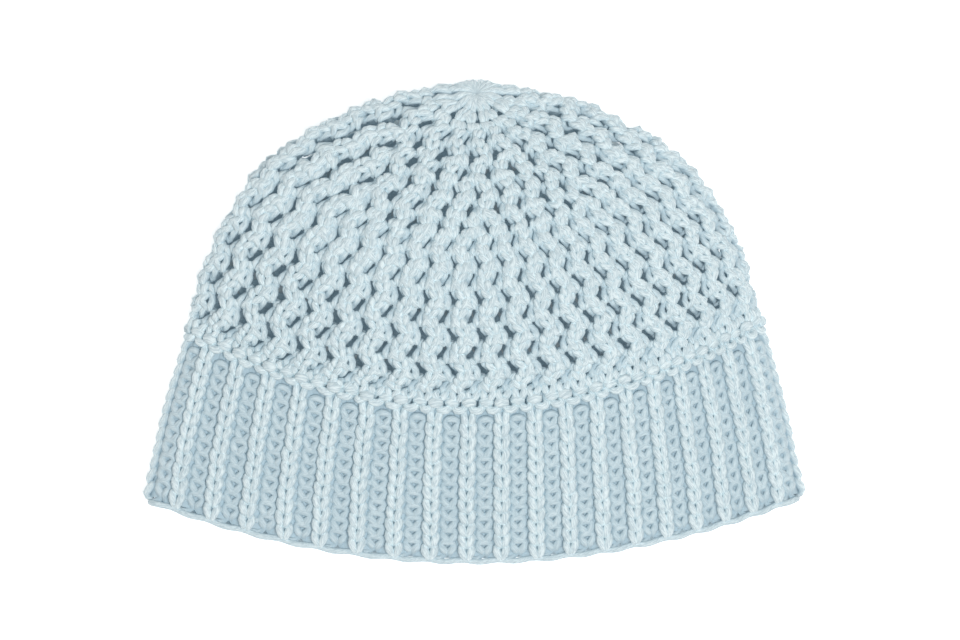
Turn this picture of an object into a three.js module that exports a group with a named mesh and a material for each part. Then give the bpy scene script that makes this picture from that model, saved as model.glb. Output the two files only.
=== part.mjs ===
// A chunky knitted hat lying on its back, slightly puffed up: ribbed brim, purl ridge,
// openwork crown and gathered top. Millimetres; X across, Y towards the crown's top, Z up.
import * as THREE from "three";

// Knitting
const RIBS = 40; // knit ribs round the brim, each beside one purl furrow
const SPOKES = 16; // spokes of stitches gathered at the top
const EYELETS_ROUND = 20; // eyelets cut through the crown in each row
const EYELET_ROWS = 6;
const COLUMNS_PER_EYELET = 4; // columns of the crown's wall for each eyelet
const EYELET_LENGTH = 8;
const EYELET_WIDTH = 0.72; // of a column of the wall
const EYELET_SLANT = 0.3; // of a column; the rows lean right and left in turn
const FOLD_CROWDING = 0.4; // how much closer the crown's columns stand at the side folds

// Walls
const CROWN_WALL = 4.4;
const BRIM_WALL = 4.2;
const RIB_HEIGHT = 1.1; // above and below the brim's middle surface
const CREST_SHARE = 0.44; // of a rib's pitch taken by the raised column
const SLOPE_SHARE = 0.14; // and by each of its sides
const BRIM_BANDS = 4; // bands of facets down the brim
const SPOKE_HEIGHT = 0.5;
const RIDGE_HALF_HEIGHT = 2.5; // along the fabric
const RIDGE_HALF_DEPTH = 3.3; // through the fabric
const RIDGE_BEAD = 0.5; // how far every second stitch of the ridge stands out
const RIDGE_SIDES = 6;
const GAP = 0.35; // between one piece and the next
const TOP_DIMPLE = 0.8; // how deep the gathered stitches sink at the middle of the star
const DIMPLE_REACH = 3;

// Places along the fabric, measured from the star down the side fold
const STAR_RINGS = [0, 4, 9, 14, 20, 27];
const STAR_REACH = 35;
const RIDGE_REACH = 177;
const BRIM_EDGE_REACH = 248;

// The middle surface of the fabric, a row for each section round the hat.
// left and right are the two side folds, front and back the middles of the upper and lower layer,
// round is the radius by which a fold is opened, lean how far the front bulges to the right.
const SECTION_COLUMNS = [
  "reach", "leftX", "leftY", "rightX", "rightY", "foldZ",
  "frontY", "frontZ", "backY", "backZ", "round", "lean",
];
const SECTION_ROWS = [
  [0, 1.0, 97.6, 1.0, 97.6, 16.8, 97.6, 16.8, 97.6, 16.8, 0, 0],
  [6, -5.0, 97.6, 7.0, 97.6, 16.6, 92.9, 19.4, 100.8, 11.9, 0, 0],
  [12, -11.0, 97.6, 13.0, 97.6, 16.0, 88.6, 22.0, 100.2, 6.2, 0, 0],
  [18, -17.0, 97.4, 19.0, 97.3, 15.2, 84.4, 24.5, 95.8, 2.7, 0, 0],
  [25, -24.0, 97.0, 26.0, 96.8, 14.2, 79.8, 27.0, 88.5, 2.2, 0, 0.5],
  [35, -33.8, 95.5, 35.6, 95.0, 12.9, 73.0, 30.4, 78.5, 2.2, 0, 1],
  [45, -43.6, 92.8, 45.3, 92.4, 11.8, 65.6, 33.3, 69.5, 2.2, 0, 2],
  [60, -57.5, 87.2, 59.2, 87.0, 10.8, 54.5, 36.8, 57.0, 2.2, 0, 3],
  [75, -70.8, 79.8, 72.0, 79.8, 10.2, 43.3, 39.2, 45.0, 2.2, 0.5, 4],
  [92, -85.6, 70.0, 85.4, 70.2, 9.8, 30.7, 40.8, 32.0, 2.2, 1, 5],
  [110, -98.2, 55.8, 98.2, 55.8, 9.4, 17.3, 41.2, 18.0, 2.2, 1.5, 6],
  [140, -112.0, 29.4, 112.6, 30.2, 9.0, -7.0, 39.0, -7.0, 2.2, 2.4, 6],
  [177, -122.0, -6.6, 123.0, -4.0, 8.6, -37.0, 32.0, -36.5, 2.4, 3, 4],
  [212, -131.9, -40.5, 132.2, -38.5, 8.2, -70.5, 25.5, -69.5, 2.4, 3.4, 3],
  [248, -139.7, -78.2, 139.9, -77.0, 8.0, -102.8, 20.0, -101.7, 2.4, 3.6, 2],
];
const FLOOR_Z = 0;
const LOOP_STEPS = 240; // steps that follow a section's curve before it is divided evenly
const REACH_STEP = 0.4; // along the fabric and
const TURN_STEP = 0.002; // round it, to find its outward direction

const SECTIONS = SECTION_ROWS.map((row) =>
  Object.fromEntries(SECTION_COLUMNS.map((name, i) => [name, row[i]])),
);

// A section at any reach: a smooth curve through the rows of the table, column by column.
function sectionAt(reach) {
  const last = SECTIONS.length - 2;
  const found = SECTIONS.findIndex((row, i) => i > 0 && reach < row.reach);
  const i = found < 0 ? last : Math.min(found - 1, last);
  const [a, b] = [SECTIONS[i], SECTIONS[i + 1]];
  const span = b.reach - a.reach;
  const t = (reach - a.reach) / span;
  const slope = (k, name) => {
    const [before, after] = [SECTIONS[Math.max(k - 1, 0)], SECTIONS[Math.min(k + 1, last + 1)]];
    return (after[name] - before[name]) / (after.reach - before.reach);
  };
  const at = {};
  for (const name of SECTION_COLUMNS) {
    const start = a[name] * (1 + 2 * t) * (1 - t) ** 2 + slope(i, name) * span * t * (1 - t) ** 2;
    const end = b[name] * t * t * (3 - 2 * t) - slope(i + 1, name) * span * t * t * (1 - t);
    at[name] = start + end;
  }
  return at;
}

// One point of a section; angle is 0 at the right fold, 90 degrees in the middle of the front.
function loopPoint(s, angle) {
  const [c, w] = [Math.cos(angle), Math.sin(angle)];
  const halfWidth = (s.rightX - s.leftX) / 2 - s.round;
  const [frontZ, backZ] = [s.frontZ - s.round, s.backZ + s.round];
  const [swingZ, swellZ] = [(frontZ - backZ) / 2, (frontZ + backZ) / 2 - s.foldZ];
  const [swingY, swellY] = [(s.frontY - s.backY) / 2, (s.frontY + s.backY - s.leftY - s.rightY) / 2];
  const leaning = s.lean * (1 + w) / 2;
  const x = (s.rightX + s.leftX) / 2 + halfWidth * c;
  const y = (s.rightY + s.leftY) / 2 + ((s.rightY - s.leftY) / 2) * c + swingY * w + swellY * w * w;
  const z = s.foldZ + swingZ * w + (swellZ + leaning * c) * w * w;
  // The curve above is opened by the fold's radius, square to itself in the XZ plane.
  const alongX = -halfWidth * w;
  const alongZ = swingZ * c + 2 * swellZ * w * c + leaning * w * (2 * c * c - w * w);
  const along = Math.hypot(alongX, alongZ) || 1;
  const openedX = x + (s.round * alongZ) / along;
  const openedZ = z - (s.round * alongX) / along;
  return new THREE.Vector3(openedX, y, Math.max(openedZ, s.backZ));
}

// A whole section, divided evenly by length: half the turn over the front, half over the back.
const loops = new Map();
function loopAt(reach) {
  if (loops.has(reach)) return loops.get(reach);
  const s = sectionAt(reach);
  const halves = [Math.PI, 0].map((start) => {
    const points = [];
    for (let i = 0; i <= LOOP_STEPS; i++)
      points.push(loopPoint(s, start - (Math.PI * i) / LOOP_STEPS));
    const lengths = [0];
    for (let i = 1; i <= LOOP_STEPS; i++)
      lengths.push(lengths[i - 1] + points[i].distanceTo(points[i - 1]));
    return { points, lengths };
  });
  loops.set(reach, halves);
  return halves;
}

// The middle surface at a reach and a turn: 0 at the left fold, 0.25 front, 0.5 right fold, 0.75 back.
function middle(reach, turn) {
  const wrapped = ((turn % 1) + 1) % 1;
  const { points, lengths } = loopAt(reach)[wrapped < 0.5 ? 0 : 1];
  const target = ((wrapped % 0.5) / 0.5) * lengths[LOOP_STEPS];
  let i = 1;
  while (i < LOOP_STEPS && lengths[i] < target) i++;
  const share = (target - lengths[i - 1]) / (lengths[i] - lengths[i - 1] || 1);
  return points[i - 1].clone().lerp(points[i], share);
}

// The outward direction there, square to the way down the fabric and the way round it.
function outward(reach, turn) {
  const above = Math.max(reach - REACH_STEP, REACH_STEP / 4);
  const here = Math.max(reach, above);
  const down = middle(reach + REACH_STEP, turn).sub(middle(above, turn));
  const round = middle(here, turn + TURN_STEP).sub(middle(here, turn - TURN_STEP));
  return down.cross(round).normalize();
}

// A point of the fabric, lifted off its middle surface, and never below the floor.
function fabric(reach, turn, lift) {
  const point = middle(reach, turn).addScaledVector(outward(reach, turn), lift);
  point.z = Math.max(point.z, FLOOR_Z);
  return point;
}

function geometryOf(points, triangles) {
  const geometry = new THREE.BufferGeometry();
  const numbers = points.flatMap((point) => point.toArray());
  geometry.setAttribute("position", new THREE.Float32BufferAttribute(numbers, 3));
  geometry.setIndex(triangles.flat());
  geometry.computeVertexNormals();
  return geometry;
}

// A closed wall over rings of the fabric, with the cells that isOpen names cut through.
// With a pole the wall's first ring shrinks to one point on each face, as a cap's does.
function wallGeometry({ reaches, columns, turnOf, outer, inner, isOpen = () => false, pole = false }) {
  const points = [];
  const triangles = [];
  const ringOf = (reach, i, lift) => {
    if (pole && i === 0) {
      const tip = points.push(fabric(reach, 0, lift(i, 0))) - 1;
      return new Array(columns).fill(tip);
    }
    const pointAt = (_, j) => points.push(fabric(reach, turnOf(i, j), lift(i, j))) - 1;
    return Array.from({ length: columns }, pointAt);
  };
  const o = reaches.map((reach, i) => ringOf(reach, i, outer));
  const n = reaches.map((reach, i) => ringOf(reach, i, inner));
  const quad = (a, b, c, d) => {
    for (const triangle of [[a, b, c], [a, c, d]])
      if (new Set(triangle).size === 3) triangles.push(triangle);
  };
  const isGap = (i, j) => i < 0 || i > reaches.length - 2 || isOpen(i, j);
  for (let i = 0; i < reaches.length - 1; i++)
    for (let j = 0; j < columns; j++) {
      if (isGap(i, j)) continue;
      const k = (j + 1) % columns;
      quad(o[i][j], o[i + 1][j], o[i + 1][k], o[i][k]);
      quad(n[i][j], n[i][k], n[i + 1][k], n[i + 1][j]);
      if (isGap(i - 1, j)) quad(o[i][j], o[i][k], n[i][k], n[i][j]);
      if (isGap(i + 1, j)) quad(o[i + 1][j], n[i + 1][j], n[i + 1][k], o[i + 1][k]);
      if (isGap(i, j - 1)) quad(o[i][j], n[i][j], n[i + 1][j], o[i + 1][j]);
      if (isGap(i, j + 1)) quad(o[i][k], o[i + 1][k], n[i + 1][k], n[i][k]);
    }
  return geometryOf(points, triangles);
}

const between = (start, end, count) =>
  Array.from({ length: count + 1 }, (_, i) => start + ((end - start) * i) / count);

// The gathered top: a small cap whose spokes of stitches run together in a dimple.
function crownStar() {
  const reaches = [...STAR_RINGS, STAR_REACH - GAP];
  const columns = SPOKES * 4;
  const relief = (i, j) => {
    const spoke = SPOKE_HEIGHT * (reaches[i] / STAR_REACH) * Math.cos((j * SPOKES * 2 * Math.PI) / columns);
    return spoke - TOP_DIMPLE * Math.exp(-reaches[i] / DIMPLE_REACH);
  };
  return wallGeometry({
    reaches,
    columns,
    turnOf: (i, j) => j / columns,
    outer: (i, j) => CROWN_WALL / 2 + relief(i, j),
    inner: (i, j) => -CROWN_WALL / 2 + relief(i, j),
    pole: true,
  });
}

// Columns of the crown stand closer together where the hat folds.
const crowded = (share) => share - (FOLD_CROWDING * Math.sin(4 * Math.PI * share)) / (4 * Math.PI);

// The openwork crown: one wall from the star to the ridge, with rows of slanting eyelets
// cut through, each row half a step round from the last.
function meshCrown() {
  const start = STAR_REACH + GAP;
  const end = RIDGE_REACH - RIDGE_HALF_HEIGHT - GAP;
  const band = (end - start) / EYELET_ROWS;
  const reaches = [start];
  for (let row = 0; row < EYELET_ROWS; row++) {
    const centre = start + band * (row + 0.5);
    reaches.push(centre - EYELET_LENGTH / 2, centre + EYELET_LENGTH / 2);
  }
  reaches.push(end);
  const columns = EYELETS_ROUND * COLUMNS_PER_EYELET;
  const rowOf = (i) => (i - 1) / 2;
  const isOpen = (i, j) => {
    const row = rowOf(i);
    const isEyeletRow = Number.isInteger(row) && row >= 0 && row < EYELET_ROWS;
    return isEyeletRow && (j + columns) % COLUMNS_PER_EYELET === (row % 2) * (COLUMNS_PER_EYELET / 2);
  };
  // The corners of an eyelet move sideways, to its width and the way its decrease leans.
  const narrowing = (1 - EYELET_WIDTH) / 2;
  const shift = (i, j) => {
    for (const [cellRow, slant] of [[i, EYELET_SLANT], [i - 1, -EYELET_SLANT]]) {
      const lean = (EYELET_ROWS - rowOf(cellRow)) % 2 ? slant : -slant;
      if (isOpen(cellRow, j)) return lean + narrowing;
      if (isOpen(cellRow, j - 1)) return lean - narrowing;
    }
    return 0;
  };
  return wallGeometry({
    reaches,
    columns,
    turnOf: (i, j) => crowded((j + shift(i, j)) / columns),
    outer: () => CROWN_WALL / 2,
    inner: () => -CROWN_WALL / 2,
    isOpen,
  });
}

// The ribbed brim: one wall folded into ribs, so that a furrow outside is a rib inside.
function ribbedBrim() {
  // Four columns for each rib: two on its crest, two in the furrow beside it.
  const halfCrest = CREST_SHARE / 2;
  const corners = [
    { place: -halfCrest, lift: RIB_HEIGHT },
    { place: halfCrest, lift: RIB_HEIGHT },
    { place: halfCrest + SLOPE_SHARE, lift: -RIB_HEIGHT },
    { place: 1 - halfCrest - SLOPE_SHARE, lift: -RIB_HEIGHT },
  ];
  const cornerOf = (j) => corners[j % corners.length];
  return wallGeometry({
    reaches: between(RIDGE_REACH + RIDGE_HALF_HEIGHT + GAP, BRIM_EDGE_REACH, BRIM_BANDS),
    columns: RIBS * corners.length,
    turnOf: (i, j) => (Math.floor(j / corners.length) + 0.5 + cornerOf(j).place) / RIBS,
    outer: (i, j) => BRIM_WALL / 2 + cornerOf(j).lift,
    inner: (i, j) => -BRIM_WALL / 2 + cornerOf(j).lift,
  });
}

// The purl ridge: a beaded cord of stitches between the brim and the crown.
function purlRidge() {
  const columns = RIBS * 2;
  const points = [];
  const triangles = [];
  for (let j = 0; j < columns; j++)
    for (let k = 0; k < RIDGE_SIDES; k++) {
      const around = ((k + 0.5) / RIDGE_SIDES) * 2 * Math.PI;
      const bead = j % 2 ? RIDGE_BEAD : 0;
      const reach = RIDGE_REACH - RIDGE_HALF_HEIGHT * Math.sin(around);
      points.push(fabric(reach, crowded(j / columns), (RIDGE_HALF_DEPTH + bead) * Math.cos(around)));
    }
  for (let j = 0; j < columns; j++)
    for (let k = 0; k < RIDGE_SIDES; k++) {
      const [a, b] = [j * RIDGE_SIDES + k, j * RIDGE_SIDES + ((k + 1) % RIDGE_SIDES)];
      const ahead = (index) => (index + RIDGE_SIDES) % (columns * RIDGE_SIDES);
      triangles.push([a, ahead(a), b], [b, ahead(a), ahead(b)]);
    }
  return geometryOf(points, triangles);
}

const yarn = (color) => new THREE.MeshStandardMaterial({ color, roughness: 0.92, metalness: 0 });

const pieces = {
  ribbed_brim: { geometry: ribbedBrim(), color: 0xbacfd5 },
  purl_ridge: { geometry: purlRidge(), color: 0xb2c8cf },
  mesh_crown: { geometry: meshCrown(), color: 0xbdd1d8 },
  crown_star: { geometry: crownStar(), color: 0xb9ced5 },
};

const hat = new THREE.Group();
for (const [name, { geometry, color }] of Object.entries(pieces)) {
  const mesh = new THREE.Mesh(geometry, yarn(color));
  mesh.name = name;
  hat.add(mesh);
}

export default hat;
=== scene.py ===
"""A chunky knitted hat lying on its back, slightly puffed up, seen from straight above.

Every stitch is a loop of yarn. Courses of loops are laid on the hat's middle surface, round by round
from the cast-on edge of the brim to the gathered top, and each loop is drawn through the one below.
Lengths are millimetres until a mesh is made.
"""

import math

import bpy
import numpy as np
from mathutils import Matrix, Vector


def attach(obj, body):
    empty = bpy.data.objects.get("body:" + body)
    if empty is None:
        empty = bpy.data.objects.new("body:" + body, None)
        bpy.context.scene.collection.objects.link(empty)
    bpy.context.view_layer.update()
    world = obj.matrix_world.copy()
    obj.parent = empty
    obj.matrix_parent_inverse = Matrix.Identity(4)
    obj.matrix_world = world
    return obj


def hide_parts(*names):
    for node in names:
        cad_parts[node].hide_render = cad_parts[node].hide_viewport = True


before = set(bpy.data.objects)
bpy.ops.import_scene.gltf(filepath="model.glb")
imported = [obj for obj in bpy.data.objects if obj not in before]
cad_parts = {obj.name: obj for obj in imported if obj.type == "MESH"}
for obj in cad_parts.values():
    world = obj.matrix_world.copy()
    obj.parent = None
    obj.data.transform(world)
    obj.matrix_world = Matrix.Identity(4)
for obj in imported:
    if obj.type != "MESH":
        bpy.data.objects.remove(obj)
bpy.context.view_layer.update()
bpy.ops.object.select_all(action="DESELECT")

MM = 0.001
SEED = 7

# The pieces: the node that each one dresses and the yarn that it is made of
PIECES = {
    "brim_lower": ("ribbed_brim", "rib_knit"),
    "brim_upper": ("ribbed_brim", "rib_knit"),
    "ridge": ("purl_ridge", "ridge_knit"),
    "crown_0": ("mesh_crown", "openwork_knit"),
    "crown_1": ("mesh_crown", "openwork_knit"),
    "crown_2": ("mesh_crown", "openwork_knit"),
    "star": ("crown_star", "star_knit"),
}
BRIM_PARTS = ("brim_lower", "brim_upper")
CROWN_PARTS = ("crown_0", "crown_1", "crown_2")
ROWS_IN_PART = 4  # the last part takes the rows that are left
STAR_ROW = 13  # from this row on the openwork belongs to the star

# The yarn's colours, with its painted shade and painted glow
LIGHT_WOOL = (0.86, 0.965, 0.985, 1.0)
DARK_WOOL = (0.55, 0.665, 0.71, 1.0)
# painted shade: the colour the yarn turns to on its sides and back, and where it lies deep
PAINTED_SHADE_WOOL = (0.45, 0.57, 0.63, 1.0)
# a faint glow painted into all the yarn, lightening its shadows
WOOL_PAINTED_GLOW = (0.48, 0.62, 0.7, 1.0)
WOOL_SHEEN = (0.9, 0.97, 1.0, 1.0)
TWIST = 0.2  # of the fibres round the yarn, in radians for each millimetre
FINE_FIBRES = (5.0, 0.12)  # the noise's scale, and how far it runs for each millimetre of yarn
BROAD_FIBRES = (2.4, 0.22)
FIBRE_SHARE = 0.4  # how much the fine ones count
FIBRE_CONTRAST = (0.38, 0.62)  # the noise between which fibres turn from dark to light
SIDE_SHADE = (-0.9, 0.7)  # the cosines between which the yarn's painted shade fades, from full at its back to none in front
DEPTH_SHADE_TOP = 1.2  # yarn this far above the middle surface has no painted shade
DEPTH_SHADE_RANGE = 3.9  # and yarn this much lower has the most, painted as the shade deep in the fabric

# The view from straight above and its light, in metres
VIEW_WIDTH = 0.4099  # across the picture at the height of the hat's middle
VIEW_HEIGHT = 0.018  # the height at which that width holds
VIEW_CENTRE = (0.00256, 0.00085)
CAMERA_HEIGHT = 1.5
SENSOR = 36
KEY_LIGHT = (0.24, -0.2, 1.6)
KEY_SIZE = 0.45
KEY_POWER = 15.2
ROOM_LIGHT = 0.34
FLOOR_GLOW = 0.55
CROWN_SHADE = (0.112, 0.093)  # half the width and height of the floor under the crown, which is oval
BRIM_SHADE = (0.118, 0.03)  # the same under the brim, which is straight
BRIM_SHADE_DOWN = 0.045  # how far its middle lies below the middle of the crown's

# Places along the fabric, measured from the star down the side fold
BRIM_EDGE = 248
CAST_ON_REACH = 247.1
CAST_ON_STEP = 0.92  # of BRIM_PITCH, from the cast-on edge to the first round
FIRST_BRIM_REACH = 242.9
BRIM_ROUNDS = 12
BRIM_PITCH = 5.6
RIDGE_REACH = 177
RIDGE_ROUND_REACH = 174.2
PLAIN_ROUNDS = ((170.4, 0.11), (166.4, 0.31))  # between ridge and openwork, each with its shift in a cell
FIRST_OPEN_REACH = 163.3
OPEN_PITCH = 9.0  # from the first row of holes to the next
OPEN_GROWTH = 0.056  # the pitch grows by twice this from row to row
MEAN_PITCH = 9.4  # the pitch taken where columns are shifted by each_row
STAR_REACH = 16.0
TIP_REACH = 7.0
TIP_HOLE = 0.4  # where the heads of the last stitches meet

# Numbers of stitches, and how far some rounds are turned, in stitches
RIBS = 40
CELLS = (42,) * 9 + (35, 28, 28, 21, 16, 16)  # holes in each row of the openwork
TIP_STITCHES = 8
STAR_SHIFT = 0.7
TIP_SHIFT = 0.6
RIB_SHIFT = 0.11  # of a rib, to the right of the left fold

# Where the holes of the openwork stand in a cell. Even rows lean right and odd rows left.
HOLES = (0.91, 0.84, 0.91, 0.87, 0.91, 0.87, 0.95, 0.87, 0.96, 0.535, 0.42, 0.4, 0.395, 0.245, 0.205)
PLAIN_SHARE = 0.4  # of the way from one row of holes to the next, where its plain round lies
ZIGZAG = 0.165  # of a cell, how far its wales swing to each side from row to row
RIGHT_SPLIT = 0.62  # a decrease takes the stitches up to this far to its left, when it leans right
LEFT_SPLIT = 0.38

# The fabric isn't spread evenly round the hat. At each turn its columns are shifted by base, in ribs, and
# by each_row more for every row of the openwork, and its rows dip by so many millimetres. Its holes stand
# open by so many times HOLE_OPEN, in the crowded rows by crowded and elsewhere by open, and the yarn of the
# crowded rows is thicker by plump.
SPREAD = {
    "turn": (0.00, 0.05, 0.10, 0.15, 0.20, 0.25, 0.30, 0.35, 0.40, 0.45, 0.50, 0.60, 0.80, 1.00),
    "base": (-0.70, -0.59, -0.38, -0.18, 0.02, 0.16, 0.24, 0.20, 0.08, -0.15, -0.50, -0.60, -0.70, -0.70),
    "each_row": (0.06, 0.07, 0.07, 0.05, 0.015, -0.02, -0.055, -0.085, -0.11, -0.11, -0.09, -0.05,
                 0.01, 0.06),
    "dip": (0.0, 1.8, 3.0, 2.6, 0.8, -0.6, -1.2, -1.0, -0.5, -0.8, -2.5, 0.0, 0.0, 0.0),
    "open": (0.9, 0.7, 0.5, 0.5, 0.6, 0.6, 1.1, 1.5, 2.2, 3.4, 2.0, 0.6, 0.8, 0.9),
    "crowded": (0.8, 0.2, 0.1, 0.2, 0.24, 0.26, 0.9, 1.5, 2.2, 2.4, 2.4, 0.4, 0.36, 0.8),
    "plump": (1.1, 1.16, 1.18, 1.12, 1.1, 1.1, 1.0, 1.0, 1.0, 1.0, 1.0, 1.1, 1.1, 1.1),
}
CROWDED_ROWS = range(5, 10)  # where the crown narrows faster than its stitches
OPEN_AT_RANDOM = (0.5, 1.5)  # and each hole's opening by a random number between these
DIP_START = 12  # the dip begins this far from the star,
DIP_FADE = 25  # grows over this length,
DIP_END = 10  # and ends over this one, at the ridge
SMALL_TURN = 0.01  # how far to each side the spreading is measured

# How the fabric is pressed together along the side folds
PRESSED = {"reach": (165, 185, 230, 246), "share": (0.15, 0.6, 0.5, 0.1)}
FOLD_WIDTH = 0.012

# The yarn and its relief
YARN_RADIUS = 1.355
RIB_RADIUS = 1.35
RIDGE_RADIUS = 1.75
LEAST_RADIUS = 0.35  # where stitches run together the yarn is at most this thick,
ROOM_FILLED = 1.3  # and this many quarters of a stitch thicker
THINNING = 0.7  # where columns crowd, the yarn is thinner by this power of how widely they are spread
LOOP_DEPTH = 1.4  # the measure of how far a loop swings through the fabric
WIDEST = 6.7  # a wider stitch keeps this loop, and only the yarn between two loops is longer
RIB_RISE = 0.8  # how far the ribs stand above the middle of the brim
FURROW_DEPTH = 1.85  # how far the furrows lie below it
RIDGE_RISE = 0.6
CUP_RISE = 1.0
ROW_WAVE = 1.3  # how far the rows of the openwork swing up and down past its holes
HOLE_OPEN = 0.42  # how far the yarn stands back on both sides of a hole
HOLE_SHIFT = 0.05  # of a cell, how far the middle of a hole lies past the foot of its yarn over,
HOLE_DOWN = 2  # and in millimetres how far below it
GROOVE_BETWEEN = 0.4  # how deep a groove stays between two rows of holes
COLUMN_RISE = 2.1  # how far the fabric between the holes stands above them
COLUMN_MEAN = 0.1  # the share of it by which the whole fabric is lifted again
WALE_ROUND = 0.7  # how far its middle rises further
ROW_ROUND = 1.1  # how far it swells between one row of holes and the next
ROW_MEAN = 0.4  # the share of it that stands above the fabric; the rest lies below it, at the holes
RUN_OUT, RUN_OUT_OVER = 0.35, 0.15  # grooves this many cells apart run out, in full at so many more
OPEN_FADE = 1.1  # the relief begins this many rows before the first and grows over one row
STAR_FADE, STAR_FADE_OVER = 0.3, 0.8  # it ends so many rows short of one past the last, over so many
FOOT_START = 1.9  # from here on a loop's foot reaches for the next stitch, in radians from its head
LIES_OVER, LIES_UNDER = 0.9, -0.7  # for the heads of stitches that are drawn together
HEAD_FROM, HEAD_OVER = 0.2, 0.9  # a head begins at the cosine -HEAD_FROM and is whole HEAD_OVER above it
SIDE_BY_SIDE = 0.06  # of a stitch, how far these heads stand apart

# How uneven the knitting is: shares of a stitch, of a loop's height and thickness, and millimetres
UNEVEN_FEET = 0.045
UNEVEN_HEADS = 0.035
UNEVEN_LOOPS = 0.03
UNEVEN_DEPTH = 0.12

# Half a loop in a furrow, from the middle of its head to the edge of its foot. Across is a share of
# the stitch's width, along of the step from round to round, through of LOOP_DEPTH, thick of the radius.
FURROW_LOOP = {
    "across": (0.00, 0.18, 0.34, 0.41, 0.32, 0.19, 0.11, 0.30, 0.50),
    "along": (0.93, 0.90, 0.79, 0.56, 0.33, 0.12, -0.18, -0.50, -0.69),
    "through": (0.90, 0.80, 0.50, 0.40, 0.80, 0.80, -0.60, -1.20, -0.30),
    "thick": (1.20, 1.18, 1.10, 1.10, 1.26, 1.32, 1.15, 0.90, 1.00),
}
# The same for a rib: its legs are two plump leaves that meet below.
KNIT_LOOP = {
    "across": (0.00, 0.15, 0.25, 0.30, 0.28, 0.19, 0.12, 0.14, 0.50),
    "along": (0.60, 0.60, 0.58, 0.46, 0.18, -0.14, -0.45, -0.65, -0.64),
    "through": (-0.60, -0.50, -0.30, 0.20, 1.00, 1.30, 0.70, -0.90, -1.10),
    "thick": (1.10, 1.12, 1.14, 1.24, 1.34, 1.24, 1.00, 0.80, 0.90),
}
# The same for the last round of the brim: its head lies forward as a bump above the ridge's cups.
LAST_LOOP = {
    "across": (0.00, 0.17, 0.25, 0.27, 0.26, 0.21, 0.13, 0.16, 0.50),
    "along": (1.16, 1.16, 1.05, 0.64, 0.26, -0.12, -0.45, -0.64, -0.66),
    "through": (1.60, 1.30, 0.10, -0.80, 0.40, 1.20, 0.60, -0.80, -0.80),
    "thick": (1.85, 1.75, 1.20, 1.00, 1.20, 1.24, 1.00, 0.85, 0.95),
}
LAST_HEAD = 0.9  # in a furrow only this much of it lies forward, in radians from the middle of the head
LAST_BACK = -1.2
# The same for the ridge: its feet are the cups, which stand out by CUP_RISE.
RIDGE_LOOP = {
    "across": (0.00, 0.12, 0.20, 0.21, 0.21, 0.19, 0.21, 0.33, 0.50),
    "along": (0.69, 0.64, 0.50, 0.28, 0.05, -0.14, -0.30, -0.40, -0.43),
    "through": (-1.00, -1.00, -1.00, -1.20, -1.20, -0.80, -0.10, 0.45, 0.55),
    "thick": (0.85, 0.85, 0.85, 0.85, 0.88, 0.92, 0.95, 1.00, 1.00),
}
# The same for the openwork, whose legs are plump leaves, for its yarn overs and for the gathered tip.
OPEN_LOOP = {
    "across": (0.00, 0.14, 0.25, 0.31, 0.31, 0.23, 0.13, 0.14, 0.50),
    "along": (0.62, 0.62, 0.60, 0.46, 0.20, -0.10, -0.40, -0.60, -0.62),
    "through": (-1.00, -0.90, -0.60, 0.00, 0.85, 1.25, 0.70, -1.00, -1.20),
    "thick": (1.00, 1.02, 1.04, 1.10, 1.24, 1.22, 1.00, 0.80, 0.80),
}
OVER_LOOP = {
    "across": (0.00, 0.20, 0.35, 0.40, 0.38, 0.36, 0.38, 0.44, 0.50),
    "along": (0.66, 0.66, 0.60, 0.44, 0.20, -0.06, -0.30, -0.50, -0.64),
    "through": (-1.40, -1.30, -0.80, 0.10, 0.50, 0.30, -0.20, -1.00, -1.20),
    "thick": (0.74, 0.78, 0.88, 1.02, 1.10, 1.00, 0.90, 0.80, 0.78),
}
TIP_LOOP = {
    "across": (0.00, 0.12, 0.20, 0.24, 0.25, 0.25, 0.24, 0.30, 0.50),
    "along": (1.00, 0.97, 0.85, 0.60, 0.30, 0.00, -0.42, -0.66, -0.72),
    "through": (-0.60, -0.30, 0.20, 0.60, 0.90, 1.00, 0.50, -0.80, -1.00),
    "thick": (0.90, 1.00, 1.08, 1.20, 1.32, 1.40, 1.25, 0.95, 0.90),
}
LOOP_KNOTS = np.linspace(0, math.pi, 9)
POINTS_PER_STITCH = 16
SIDES = 8

# The strand along the brim's edge
EDGE_RADIUS = 1.3
EDGE_DOWN = 0.3  # how far it swings down and up with the ribs,
EDGE_RISE = 0.5  # and how far out and in
EDGE_BACK = 0.4  # how far its middle is set back
EDGE_SHADE = 0.3  # its painted shade, from 0 to 1, as it lies set back

# The sheet in the ribs
SHEET_ROWS = 14
SHEET_RISE = 0.4  # how far it stands out in the middle of a rib
SHEET_LOWEST = 0.6  # its least height over the floor
SHEET_SHADE = 0.8  # its painted shade, from 0 to 1, as the ground of the pits
SHEET_BEYOND = 2  # it begins this far below the ridge's round and ends this far below the first
SHEET_SPLIT = 5.5  # rounds above the first, where one sheet ends and the next begins
SHEET_PLACE = (0.3, 480)  # its place round the yarn, and how much yarn lies in a whole turn
POINTS_PER_RIB = 8

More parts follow.
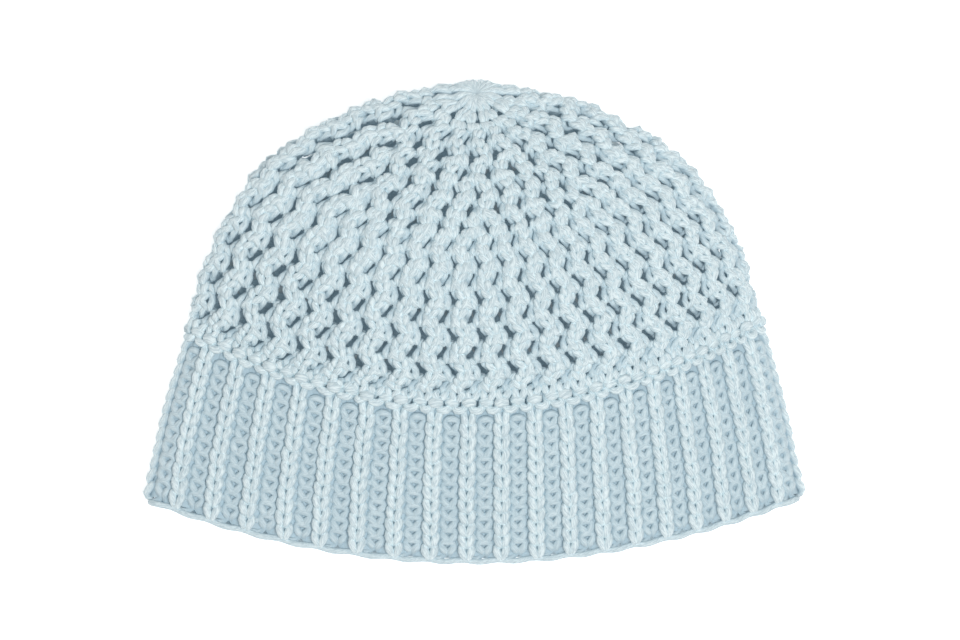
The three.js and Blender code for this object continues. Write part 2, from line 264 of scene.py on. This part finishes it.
# The hat's middle surface. A row of the table is a section round the hat: left and right are the
# two side folds, front and back the middles of the upper and lower layer, round is the radius by
# which a fold is opened, lean how far the front bulges to the right.
SECTION_COLUMNS = (
    "reach", "leftX", "leftY", "rightX", "rightY", "foldZ",
    "frontY", "frontZ", "backY", "backZ", "round", "lean",
)
SECTION_ROWS = np.array([
    [0, 1.0, 97.6, 1.0, 97.6, 16.8, 97.6, 16.8, 97.6, 16.8, 0, 0],
    [6, -5.0, 97.6, 7.0, 97.6, 16.6, 92.9, 19.4, 100.8, 11.9, 0, 0],
    [12, -11.0, 97.6, 13.0, 97.6, 16.0, 88.6, 22.0, 100.2, 6.2, 0, 0],
    [18, -17.0, 97.4, 19.0, 97.3, 15.2, 84.4, 24.5, 95.8, 2.7, 0, 0],
    [25, -24.0, 97.0, 26.0, 96.8, 14.2, 79.8, 27.0, 88.5, 2.2, 0, 0.5],
    [35, -33.8, 95.5, 35.6, 95.0, 12.9, 73.0, 30.4, 78.5, 2.2, 0, 1],
    [45, -43.6, 92.8, 45.3, 92.4, 11.8, 65.6, 33.3, 69.5, 2.2, 0, 2],
    [60, -57.5, 87.2, 59.2, 87.0, 10.8, 54.5, 36.8, 57.0, 2.2, 0, 3],
    [75, -70.8, 79.8, 72.0, 79.8, 10.2, 43.3, 39.2, 45.0, 2.2, 0.5, 4],
    [92, -85.6, 70.0, 85.4, 70.2, 9.8, 30.7, 40.8, 32.0, 2.2, 1, 5],
    [110, -98.2, 55.8, 98.2, 55.8, 9.4, 17.3, 41.2, 18.0, 2.2, 1.5, 6],
    [140, -112.0, 29.4, 112.6, 30.2, 9.0, -7.0, 39.0, -7.0, 2.2, 2.4, 6],
    [177, -122.0, -6.6, 123.0, -4.0, 8.6, -37.0, 32.0, -36.5, 2.4, 3, 4],
    [212, -131.9, -40.5, 132.2, -38.5, 8.2, -70.5, 25.5, -69.5, 2.4, 3.4, 3],
    [248, -139.7, -78.2, 139.9, -77.0, 8.0, -102.8, 20.0, -101.7, 2.4, 3.6, 2],
])
LOOP_STEPS = 240
TURNS = 1024  # steps round the hat in the grid of its surface, which has a row for each millimetre


def section_at(reach):
    """The section at any reach: a smooth curve through the rows of the table, column by column."""
    rows = SECTION_ROWS
    last = len(rows) - 1
    i = int(np.clip(np.searchsorted(rows[:, 0], reach, side="right") - 1, 0, last - 1))
    a, b = rows[i], rows[i + 1]
    span = b[0] - a[0]
    t = (reach - a[0]) / span

    def slope(k):
        before, after = rows[max(k - 1, 0)], rows[min(k + 1, last)]
        return (after - before) / (after[0] - before[0])

    start = a * (1 + 2 * t) * (1 - t) ** 2 + slope(i) * span * t * (1 - t) ** 2
    end = b * t * t * (3 - 2 * t) - slope(i + 1) * span * t * t * (1 - t)
    return dict(zip(SECTION_COLUMNS, start + end))


def loop_points(s, angle):
    """Points of a section; the angle is 0 at the right fold and 90 degrees in the middle of the front."""
    c, w = np.cos(angle), np.sin(angle)
    half_width = (s["rightX"] - s["leftX"]) / 2 - s["round"]
    front_z, back_z = s["frontZ"] - s["round"], s["backZ"] + s["round"]
    swing_z, swell_z = (front_z - back_z) / 2, (front_z + back_z) / 2 - s["foldZ"]
    swing_y = (s["frontY"] - s["backY"]) / 2
    swell_y = (s["frontY"] + s["backY"] - s["leftY"] - s["rightY"]) / 2
    leaning = s["lean"] * (1 + w) / 2
    x = (s["rightX"] + s["leftX"]) / 2 + half_width * c
    y = (s["rightY"] + s["leftY"]) / 2 + (s["rightY"] - s["leftY"]) / 2 * c + swing_y * w + swell_y * w * w
    z = s["foldZ"] + swing_z * w + (swell_z + leaning * c) * w * w
    along_x = -half_width * w
    along_z = swing_z * c + 2 * swell_z * w * c + leaning * w * (2 * c * c - w * w)
    along = np.maximum(np.hypot(along_x, along_z), 1e-9)
    opened_z = z - s["round"] * along_x / along
    return np.stack([x + s["round"] * along_z / along, y, np.maximum(opened_z, s["backZ"])], axis=-1)


def even_section(reach):
    """A whole section, divided evenly by length, and the lengths of its front and back halves."""
    s = section_at(reach)
    halves, lengths = [], []
    for start in (math.pi, 0):
        points = loop_points(s, start - math.pi * np.arange(LOOP_STEPS + 1) / LOOP_STEPS)
        steps = np.linalg.norm(np.diff(points, axis=0), axis=1)
        run = np.concatenate([[0], np.cumsum(steps)])
        target = np.arange(TURNS // 2) / (TURNS // 2) * run[-1]
        halves.append(np.stack([np.interp(target, run, points[:, k]) for k in range(3)], axis=-1))
        lengths.append(run[-1])
    return np.concatenate(halves), lengths


sections = [even_section(reach) for reach in range(BRIM_EDGE + 1)]
surface = np.array([points for points, _ in sections])
half_lengths = np.array([lengths for _, lengths in sections])
way_down = np.gradient(surface, axis=0)
way_round = np.roll(surface, -1, axis=1) - np.roll(surface, 1, axis=1)
outward = np.cross(way_down, way_round)
outward[0] = outward[1].mean(axis=0)
outward /= np.linalg.norm(outward, axis=-1, keepdims=True)


def on_grid(grid, reach, turn):
    """Values of a grid at any reach and turn, mixed from the four nearest."""
    i = np.clip(reach.astype(int), 0, BRIM_EDGE - 1)
    column = (turn % 1) * TURNS
    j = column.astype(int) % TURNS
    down, across = (reach - i)[..., None], (column - np.floor(column))[..., None]
    k = (j + 1) % TURNS
    upper = grid[i, j] * (1 - across) + grid[i, k] * across
    lower = grid[i + 1, j] * (1 - across) + grid[i + 1, k] * across
    return upper * (1 - down) + lower * down


def spread_at(turn, key):
    return np.interp(turn % 1, SPREAD["turn"], SPREAD[key])


def spread(reach, turn):
    """Where a place on the evenly spread fabric really lies, and how widely it is spread there."""
    row = np.clip((FIRST_OPEN_REACH - reach) / MEAN_PITCH, 0, len(CELLS) - 1)

    def shifted(turn):
        return turn + (spread_at(turn, "base") + spread_at(turn, "each_row") * row) / RIBS

    dip = spread_at(turn, "dip") * np.clip((RIDGE_REACH - reach) / DIP_END, 0, 1)
    dip = dip * np.clip((reach - DIP_START) / DIP_FADE, 0, 1)
    wideness = (shifted(turn + SMALL_TURN) - shifted(turn - SMALL_TURN)) / (2 * SMALL_TURN)
    return reach + dip, shifted(turn), wideness


def fabric(reach, turn, lift):
    """Points lifted off the middle surface, and the outward directions there."""
    reach, turn, _ = spread(reach, turn)
    reach = np.maximum(reach, 0.0)
    fold = np.abs((turn + 0.25) % 0.5 - 0.25)
    pressed = np.interp(reach, PRESSED["reach"], PRESSED["share"])
    lift = lift * (1 - pressed * np.exp(-(fold / FOLD_WIDTH) ** 2))
    normal = on_grid(outward, reach, turn)
    normal /= np.linalg.norm(normal, axis=-1, keepdims=True)
    return on_grid(surface, reach, turn) + normal * lift[..., None], normal


def round_length(reach, turn):
    """How long a whole round would be, at the scale of the half that the turn is in."""
    i = np.clip(np.asarray(reach).astype(int), 1, BRIM_EDGE)
    front = (np.asarray(turn) % 1) < 0.5
    return 2 * np.where(front, half_lengths[i, 0], half_lengths[i, 1])


# The knitting, as rounds of stitches
rng = np.random.default_rng(SEED)
hole_sizes = rng.uniform(*OPEN_AT_RANDOM, (len(CELLS), max(CELLS)))
rounds = []


def add_round(piece, reach, feet, side=1, over=False, child_of=None, lean=0, lift=0,
              loop=OPEN_LOOP, radius=YARN_RADIUS):
    """Adds a round of stitches, each with the turn of its foot.

    side is 1 for knit and -1 for purl, over marks yarn overs, and child_of says, for each stitch of the
    round below, which new stitch is in it. Without a loop, knit and purl stitches have the ribs' loops.
    """
    count = len(feet)
    if rounds:
        rounds[-1]["child"] = np.arange(count) if child_of is None else child_of
        rounds[-1]["lean"] = lean
    rounds.append({
        "piece": piece,
        "reach": reach,
        "feet": feet,
        "side": np.broadcast_to(side, count),
        "over": np.broadcast_to(over, count),
        "lift": np.broadcast_to(lift, count),
        "lean": 0,
        "loop": loop,
        "radius": radius,
    })


rib_feet = (np.arange(2 * RIBS) * 0.5 + RIB_SHIFT) / RIBS
rib_side = np.where(np.arange(2 * RIBS) % 2, 1, -1)
rib_lift = np.where(rib_side > 0, RIB_RISE, -FURROW_DEPTH)
for n in range(BRIM_ROUNDS):
    add_round(BRIM_PARTS[2 * n // BRIM_ROUNDS], FIRST_BRIM_REACH - BRIM_PITCH * n, rib_feet, rib_side,
              lift=rib_lift, loop=LAST_LOOP if n == BRIM_ROUNDS - 1 else None, radius=RIB_RADIUS)
add_round("ridge", RIDGE_ROUND_REACH, rib_feet, -1, lift=RIDGE_RISE, loop=RIDGE_LOOP, radius=RIDGE_RADIUS)
# Above the ridge a few stitches are added
widened = np.rint(np.arange(2 * RIBS) * CELLS[0] / RIBS).astype(int)
for n, (reach, turned) in enumerate(PLAIN_ROUNDS):
    feet = (np.arange(2 * CELLS[0]) * 0.5 + turned) / CELLS[0]
    add_round("ridge" if n == 0 else "crown_0", reach, feet, child_of=widened if n == 0 else None)


def cell_feet(cells, hole):
    """Feet of the two stitches in each cell: over its hole, and half a cell on."""
    return (np.arange(2 * cells) * 0.5 + 0.5 + hole) / cells


def open_reach(row):
    """Where a row of the openwork lies; a row between two whole ones is allowed."""
    return FIRST_OPEN_REACH - OPEN_PITCH * row - OPEN_GROWTH * row ** 2


def parents_of(below, feet, cells, split):
    """For each stitch below, the decrease that takes it: the decreases stand half a cell past the holes."""
    cell = np.floor((below - feet[1]) * cells + split).astype(int) % cells
    return cell * 2 + 1


for row, cells in enumerate(CELLS):
    leans_right = row % 2 == 0
    feet = cell_feet(cells, HOLES[row])
    child_of = parents_of(rounds[-1]["feet"], feet, cells, RIGHT_SPLIT if leans_right else LEFT_SPLIT)
    piece = CROWN_PARTS[min(row // ROWS_IN_PART, 2)] if row < STAR_ROW else "star"
    radius = YARN_RADIUS
    if row in CROWDED_ROWS:
        radius = YARN_RADIUS * spread_at(feet, "plump")[:, None]
    add_round(piece, open_reach(row), feet, over=np.arange(2 * cells) % 2 == 0, child_of=child_of,
              lean=1 if leans_right else -1, radius=radius)
    add_round(piece, open_reach(row + PLAIN_SHARE), feet, radius=radius)

spokes = CELLS[-1]
star_feet = (np.arange(spokes) + STAR_SHIFT) / spokes
add_round("star", STAR_REACH, star_feet, child_of=np.arange(2 * spokes) // 2, lean=1)
tip_feet = (np.arange(TIP_STITCHES) + TIP_SHIFT) / TIP_STITCHES
add_round("star", TIP_REACH, tip_feet, child_of=np.arange(spokes) // 2, lean=1, loop=TIP_LOOP)


def nearest(turn, reference):
    """The same turn, written so that it lies within half a turn of the reference."""
    return reference + (turn - reference + 0.5) % 1 - 0.5


def smooth(x):
    """An even step from 0 to 1."""
    x = np.clip(x, 0, 1)
    return x * x * (3 - 2 * x)


def openwork_relief(reach, turn):
    """How far the openwork swings a point along the wale and round the hat, and off the fabric.

    Holes stand in the grooves between its wales, and the grooves zigzag from row to row.
    """
    past = np.maximum(FIRST_OPEN_REACH + HOLE_DOWN - reach, -OPEN_PITCH)
    row = (np.sqrt(OPEN_PITCH ** 2 + 4 * OPEN_GROWTH * past) - OPEN_PITCH) / (2 * OPEN_GROWTH)
    below = np.clip(np.floor(row), 0, len(CELLS) - 1).astype(int)
    above = np.minimum(below + 1, len(CELLS) - 1)
    share = np.clip(row - below, 0, 1)
    cells, holes = np.array(CELLS), np.array(HOLES)

    def phase(which):
        return turn * cells[which] - 0.5 - holes[which] - HOLE_SHIFT

    # Grooves that stand too far apart from row to row run out between them.
    apart = (phase(above) - phase(below) + 0.5) % 1 - 0.5
    angle = 2 * math.pi * (phase(below) + share * apart)
    merging = smooth((np.abs(apart) - RUN_OUT) / RUN_OUT_OVER) * 4 * share * (1 - share)
    fade = smooth(row + OPEN_FADE) * smooth((len(CELLS) - STAR_FADE - row) / STAR_FADE_OVER)
    relief = fade * (1 - merging)

    leaning = np.cos(math.pi * row)
    up = -relief * ROW_WAVE * np.sin(angle) * leaning
    cell = np.rint(angle / (2 * math.pi)).astype(int) % cells[below]
    which = np.clip(np.rint(row), 0, len(CELLS) - 1).astype(int)
    opening = np.where(np.isin(which, CROWDED_ROWS), spread_at(turn, "crowded"), spread_at(turn, "open"))
    opening = opening * hole_sizes[which, cell]
    across = relief * HOLE_OPEN * opening * np.sin(angle) * leaning ** 4 / round_length(reach, turn)
    swing = fade * ZIGZAG * (1 - 2 * np.abs(row % 2 - 1)) / cells[below]

    groove = ((1 + np.cos(angle)) / 2) ** 3 * (GROOVE_BETWEEN + (1 - GROOVE_BETWEEN) * leaning ** 2)
    off = COLUMN_RISE * (COLUMN_MEAN - groove) - WALE_ROUND * np.cos(angle)
    off = off + ROW_ROUND * (ROW_MEAN - leaning ** 2)
    return up, across + swing, relief * off


def course(n):
    """The yarn of one round: its centre line, its outward directions, its radius and the painted shade it
    takes from how deep it lies.
    """
    this = rounds[n]
    after = rounds[n + 1] if n + 1 < len(rounds) else None
    count = len(this["feet"])
    step_up = this["reach"] - (after["reach"] if after else TIP_HOLE)
    step_down = (rounds[n - 1]["reach"] if n else this["reach"] + BRIM_PITCH * CAST_ON_STEP) - this["reach"]

    feet = this["feet"] + rng.normal(0, UNEVEN_FEET, count) / count
    # Heads go where the next round's stitch hangs, and those that share a stitch stand side by side.
    if after:
        heads = nearest(after["feet"][this["child"]], feet)
        child_lift = after["lift"][this["child"]]
        together = np.bincount(this["child"], minlength=len(after["feet"]))[this["child"]] > 1
    else:
        heads, child_lift, together = feet, this["lift"], np.zeros(count, bool)
    shift = heads - feet
    heads = np.where(together, heads - np.sign(shift) * SIDE_BY_SIDE / count, heads)
    # Of stitches drawn together, the one that leans furthest lies on top.
    on_top = np.where(together, np.where(shift * this["lean"] > 0, LIES_OVER, LIES_UNDER), 0.0)
    heads = heads + rng.normal(0, UNEVEN_HEADS, count) / count
    # Of these four draws for each stitch the second isn't used.
    taller, _, forward, thicker = rng.normal(size=(4, count, 1))

    # A stitch runs from -pi to pi, with its head at 0 and the two edges of its foot at the ends.
    t = (-math.pi + 2 * math.pi * np.arange(POINTS_PER_STITCH) / POINTS_PER_STITCH)[None, :]
    away = np.abs(t)
    cos, head_share = np.cos(t), (1 + np.cos(t)) / 2
    side, over = this["side"][:, None], this["over"][:, None]
    left = (feet + np.roll(feet, 1) - np.where(np.arange(count) == 0, 1, 0)) / 2
    right = np.roll(left, -1) + np.where(np.arange(count) == count - 1, 1, 0)
    length = round_length(this["reach"], feet)[:, None]
    width = np.minimum(length * (right - left)[:, None], WIDEST)
    middle = heads[:, None] * head_share + feet[:, None] * (1 - head_share)

    shapes = [(this["loop"], True)] if this["loop"] else [(FURROW_LOOP, side < 0), (KNIT_LOOP, side > 0)]
    turn = reach = through = thick = np.zeros((count, POINTS_PER_STITCH))
    for shape, chosen in shapes + [(OVER_LOOP, over)]:
        across, along, out, wide = (np.interp(away, LOOP_KNOTS, shape[key])
                                    for key in ("across", "along", "through", "thick"))
        if shape is LAST_LOOP:
            out = np.where((side < 0) & (away > LAST_HEAD), LAST_BACK, out)
        climb = along * (1 + UNEVEN_LOOPS * taller) * np.where(along > 0, step_up, step_down)
        turn = np.where(chosen, middle + np.sign(t) * across * width / length, turn)
        reach = np.where(chosen, this["reach"] - climb, reach)
        through = np.where(chosen, LOOP_DEPTH * out, through)
        thick = np.where(chosen, wide, thick)

    # Ribs and furrows lie at their own heights, and the yarn slopes from one to the next.
    lift = this["lift"][:, None]
    edge = smooth((away - FOOT_START) / (math.pi - FOOT_START))
    edge_lift = np.where(t < 0, (lift + np.roll(lift, 1, axis=0)) / 2, (lift + np.roll(lift, -1, axis=0)) / 2)
    base = lift * (1 - edge) + edge_lift * edge
    base = base * (1 - head_share) + (lift + child_lift[:, None]) / 2 * head_share
    on_top = on_top[:, None] * smooth((cos + HEAD_FROM) / HEAD_OVER)
    through = through + base + on_top + UNEVEN_DEPTH * forward
    if this["loop"] is RIDGE_LOOP:
        through = through + CUP_RISE * (1 - head_share) ** 2

    up, across, out = openwork_relief(reach, turn)
    reach, turn, through = reach + up, turn + across, through + out
    _, _, wideness = spread(reach, turn)
    radius = this["radius"] * thick * (1 + UNEVEN_LOOPS * thicker) * np.minimum(wideness, 1) ** THINNING
    room = round_length(reach, turn) / (4 * count)
    radius = np.minimum(radius, LEAST_RADIUS + ROOM_FILLED * room)
    reach, turn, through, radius = (part.reshape(-1) for part in (reach, turn, through, radius))
    line, normal = fabric(reach, turn, through)
    return line, normal, radius, np.clip((DEPTH_SHADE_TOP - through) / DEPTH_SHADE_RANGE, 0, 1)


def cast_on_edge():
    """The thin strand along the edge of the brim, set back below each rib."""
    count = 2 * RIBS * POINTS_PER_RIB
    turn = np.arange(count) / count
    wave = np.cos(2 * math.pi * (turn * RIBS))
    line, normal = fabric(CAST_ON_REACH + EDGE_DOWN * wave, turn, EDGE_RISE * wave - EDGE_BACK)
    return line, normal, np.full(count, EDGE_RADIUS), np.full(count, EDGE_SHADE)


def tube(line, normal, radius, depth_shade):
    """A closed ring of yarn round a centre line: corners, faces, places on the yarn and painted depth shades.
    """
    count = len(line)
    line = line.copy()
    line[:, 2] = np.maximum(line[:, 2], radius)
    tangent = np.roll(line, -1, axis=0) - np.roll(line, 1, axis=0)
    tangent /= np.linalg.norm(tangent, axis=1, keepdims=True)
    across = np.cross(tangent, normal)
    across /= np.linalg.norm(across, axis=1, keepdims=True)
    facing = np.cross(across, tangent)
    angle = 2 * math.pi * np.arange(SIDES) / SIDES
    offset = (np.cos(angle)[None, :, None] * facing[:, None, :]
              + np.sin(angle)[None, :, None] * across[:, None, :])
    corners = line[:, None, :] + offset * radius[:, None, None]
    corners[..., 2] = np.maximum(corners[..., 2], 0.0)
    i, k = np.meshgrid(np.arange(count), np.arange(SIDES), indexing="ij")
    i2, k2 = (i + 1) % count, (k + 1) % SIDES
    faces = np.stack([i * SIDES + k, i * SIDES + k2, i2 * SIDES + k2, i2 * SIDES + k], axis=-1).reshape(-1, 4)
    run = np.concatenate([[0], np.cumsum(np.linalg.norm(np.roll(line, -1, axis=0) - line, axis=1))])
    u, v = k / SIDES, run[i]
    u_next, v_next = (k + 1) / SIDES, run[i + 1]
    places = np.stack([np.stack([u, v], -1), np.stack([u_next, v], -1),
                       np.stack([u_next, v_next], -1), np.stack([u, v_next], -1)], axis=2).reshape(-1, 2)
    return corners.reshape(-1, 3), faces, places, np.repeat(depth_shade, SIDES)


def core_sheet(first, last):
    """The inmost fibres of the ribs as one thin sheet, seen only as the ground of the pits between loops, and
    painted deep with the pits' shade.
    """
    turns = np.arange(POINTS_PER_RIB * RIBS) / (POINTS_PER_RIB * RIBS)
    reach, turn = np.meshgrid(np.linspace(first, last, SHEET_ROWS), turns, indexing="ij")
    reach, turn = reach.reshape(-1), turn.reshape(-1)
    wave = -np.cos(2 * math.pi * (turn * RIBS - RIB_SHIFT))
    points, _ = fabric(reach, turn, (RIB_RISE + FURROW_DEPTH) / 2 * (wave - 1) + SHEET_RISE)
    points[:, 2] = np.maximum(points[:, 2], SHEET_LOWEST)
    columns = len(turns)
    i, k = np.meshgrid(np.arange(SHEET_ROWS - 1), np.arange(columns), indexing="ij")
    k2 = (k + 1) % columns
    upper, lower = i * columns, (i + 1) * columns
    faces = np.stack([upper + k, lower + k, lower + k2, upper + k2], axis=-1).reshape(-1, 4)
    places = np.stack([np.full(reach.size, SHEET_PLACE[0]), reach + SHEET_PLACE[1] * turn], axis=-1)
    return points, faces, places[faces.reshape(-1)], np.full(len(points), SHEET_SHADE)


def yarn_mesh(name, parts):
    """One mesh from several parts, with the yarn's own coordinates as its UV map."""
    corners = np.concatenate([c for c, _, _, _ in parts]) * MM
    starts = np.cumsum([0] + [len(c) for c, _, _, _ in parts[:-1]])
    faces = np.concatenate([f + start for (_, f, _, _), start in zip(parts, starts)])
    places = np.concatenate([p for _, _, p, _ in parts])
    depth_shades = np.concatenate([d for _, _, _, d in parts])
    mesh = bpy.data.meshes.new(name)
    mesh.vertices.add(len(corners))
    mesh.vertices.foreach_set("co", corners.reshape(-1).astype(np.float32))
    mesh.loops.add(faces.size)
    mesh.loops.foreach_set("vertex_index", faces.reshape(-1).astype(np.int32))
    mesh.polygons.add(len(faces))
    mesh.polygons.foreach_set("loop_start", np.arange(0, faces.size, 4, dtype=np.int32))
    mesh.polygons.foreach_set("use_smooth", np.ones(len(faces), bool))
    layer = mesh.uv_layers.new(name="yarn")
    layer.data.foreach_set("uv", places.reshape(-1).astype(np.float32))
    # each corner's painted shade, from how deep the yarn lies
    mesh.attributes.new("depth_shade", "FLOAT", "POINT").data.foreach_set("value", depth_shades.astype(np.float32))
    mesh.update(calc_edges=True)
    mesh.validate()
    piece = bpy.data.objects.new(name, mesh)
    bpy.context.collection.objects.link(piece)
    return piece


class Value:
    """A shader socket that takes part in Python arithmetic; each operation adds a Math node."""

    def __init__(self, shader, socket):
        self.shader = shader
        self.socket = socket

    def math(self, operation, *others):
        return self.shader.node("ShaderNodeMath", {"operation": operation}, [self, *others])

    def __add__(self, other):
        return self.math("ADD", other)

    def __sub__(self, other):
        return self.math("SUBTRACT", other)

    def __mul__(self, other):
        return self.math("MULTIPLY", other)

    def __truediv__(self, other):
        return self.math("DIVIDE", other)

    def __rsub__(self, other):
        return self.shader.node("ShaderNodeMath", {"operation": "SUBTRACT"}, [other, self])

    def __rtruediv__(self, other):
        return self.shader.node("ShaderNodeMath", {"operation": "DIVIDE"}, [other, self])

    __radd__ = __add__
    __rmul__ = __mul__


class Shader:
    """A material and the one way to add nodes to it."""

    def __init__(self, name):
        self.material = bpy.data.materials.new(name)
        self.material.use_nodes = True
        self.tree = self.material.node_tree

    def fill(self, node, sockets):
        """Sets or links a node's sockets, listed in order, or by name or number."""
        listed = sockets if isinstance(sockets, dict) else dict(enumerate(sockets))
        for key, value in listed.items():
            if isinstance(value, Value):
                self.tree.links.new(value.socket, node.inputs[key])
            else:
                node.inputs[key].default_value = value

    def node(self, kind, settings, sockets=(), output=0):
        """Adds a node: its settings first, then its sockets."""
        made = self.tree.nodes.new(kind)
        for key, value in settings.items():
            setattr(made, key, value)
        self.fill(made, sockets)
        return Value(self, made.outputs[output])

    def first_two(self, vector):
        """The x and the y of a vector."""
        x = self.node("ShaderNodeSeparateXYZ", {}, [vector])
        return x, Value(self, x.socket.node.outputs[1])

    def mix(self, factor, first, second):
        """One colour turning into another; the sockets of a colour come after those of other kinds."""
        return self.node("ShaderNodeMix", {"data_type": "RGBA"}, {0: factor, 6: first, 7: second}, output=2)

    def eased(self, value, low, high):
        """0 below low, 1 above high, and an even step between them."""
        even = {"interpolation_type": "SMOOTHSTEP"}
        return self.node("ShaderNodeMapRange", even, [value, low, high, 0.0, 1.0])

    def surface(self, sockets):
        self.fill(self.tree.nodes["Principled BSDF"], sockets)


def wool(name):
    """Matt yarn of fine fibres that run along it with a slight twist.

    It is painted with shade on its sides and where it lies deep in the fabric, and with a faint glow that
    lightens its shadows.
    """
    shader = Shader(name)
    u, v = shader.first_two(shader.node("ShaderNodeUVMap", {"uv_map": "yarn"}))
    round_yarn = u * (2 * math.pi)
    angle = round_yarn + v * TWIST
    cos, sin = angle.math("COSINE"), angle.math("SINE")

    def fibres(scale, stretch):
        place = shader.node("ShaderNodeCombineXYZ", {}, [cos, sin, v * stretch])
        return shader.node("ShaderNodeTexNoise", {"noise_dimensions": "3D"},
                           {"Vector": place, "Scale": scale, "Detail": 2.0, "Roughness": 0.6})

    fine, broad = fibres(*FINE_FIBRES), fibres(*BROAD_FIBRES)
    tone = fine * FIBRE_SHARE + broad * (1 - FIBRE_SHARE)
    fibre = shader.mix(shader.eased(tone, *FIBRE_CONTRAST), DARK_WOOL, LIGHT_WOOL)
    # painted shade: the yarn is darker on its sides and back, and where it lies deep in the fabric
    facing = shader.eased(round_yarn.math("COSINE"), *SIDE_SHADE)
    depth_shade = shader.node("ShaderNodeAttribute", {"attribute_name": "depth_shade"}, output="Fac")
    bump = {"Strength": 0.34, "Distance": 0.0006, "Height": fine * FIBRE_SHARE + broad}
    shader.surface({
        # the painted shade mixes the shade colour into the fibres' own colour
        "Base Color": shader.mix(facing * (1.0 - depth_shade), PAINTED_SHADE_WOOL, fibre),
        "Normal": shader.node("ShaderNodeBump", {}, bump),
        "Roughness": 0.85,
        "Specular IOR Level": 0.25,
        # painted light: a faint glow that lightens the shadows in the wool
        "Emission Color": WOOL_PAINTED_GLOW,
        "Emission Strength": 0.08,
        "Sheen Weight": 0.15,
        "Sheen Roughness": 0.5,
        "Sheen Tint": WOOL_SHEEN,
    })
    return shader.material


def white_floor():
    """Matt white that glows a little, but not where the hat covers it."""
    shader = Shader("white_floor")
    x, y = shader.first_two(shader.node("ShaderNodeTexCoord", {}, output="Object"))
    crown_x, crown_y = x / CROWN_SHADE[0], y / CROWN_SHADE[1]
    under_crown = (crown_x * crown_x + crown_y * crown_y).math("LESS_THAN", 1.0)
    brim_x, brim_y = x / BRIM_SHADE[0], (y + BRIM_SHADE_DOWN) / BRIM_SHADE[1]
    beside, below = (side.math("ABSOLUTE").math("LESS_THAN", 1.0) for side in (brim_x, brim_y))
    under_brim = beside * below
    shader.surface({
        "Base Color": (0.9, 0.9, 0.9, 1.0),
        "Roughness": 1.0,
        "Emission Color": 1.0 - under_crown.math("MAXIMUM", under_brim),
        "Emission Strength": FLOOR_GLOW,
    })
    return shader.material


# Stage: a plain white floor, soft light and the camera
bpy.ops.mesh.primitive_plane_add(size=6, location=(0, 0, 0))
floor = bpy.context.object
floor.name = "floor"
floor.data.materials.append(white_floor())

world = bpy.data.worlds.new("soft_white_room")
world.use_nodes = True
world.node_tree.nodes["Background"].inputs["Color"].default_value = (1.0, 1.0, 1.0, 1.0)
world.node_tree.nodes["Background"].inputs["Strength"].default_value = ROOM_LIGHT
bpy.context.scene.world = world

key_data = bpy.data.lights.new("soft_key", "AREA")
key_data.shape = "DISK"
key_data.size = KEY_SIZE
key_data.energy = KEY_POWER
key = bpy.data.objects.new("soft_key", key_data)
key.location = KEY_LIGHT
key.rotation_euler = (-Vector(KEY_LIGHT)).to_track_quat("-Z", "Y").to_euler()
bpy.context.collection.objects.link(key)

camera_data = bpy.data.cameras.new("camera")
camera_data.sensor_width = SENSOR
camera_data.lens = SENSOR * (CAMERA_HEIGHT - VIEW_HEIGHT) / VIEW_WIDTH
camera = bpy.data.objects.new("camera", camera_data)
camera.location = (*VIEW_CENTRE, CAMERA_HEIGHT)
camera.rotation_euler = (0, 0, 0)
bpy.context.collection.objects.link(camera)
bpy.context.scene.camera = camera
bpy.context.scene.view_settings.view_transform = "Standard"

# The pieces, each made of its rounds of yarn
parts = {name: [] for name in PIECES}
for n, this in enumerate(rounds):
    parts[this["piece"]].append(tube(*course(n)))
parts["brim_lower"].append(tube(*cast_on_edge()))
sheet_end = FIRST_BRIM_REACH - BRIM_PITCH * SHEET_SPLIT
parts["brim_lower"].append(core_sheet(sheet_end, FIRST_BRIM_REACH + SHEET_BEYOND))
parts["brim_upper"].append(core_sheet(RIDGE_ROUND_REACH + SHEET_BEYOND, sheet_end))

yarns = {slot: wool(slot) for slot in dict.fromkeys(slot for _, slot in PIECES.values())}
for name, (node, slot) in PIECES.items():
    piece = yarn_mesh(name, parts[name])
    piece.data.materials.append(yarns[slot])
    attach(piece, "root")
    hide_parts(node)
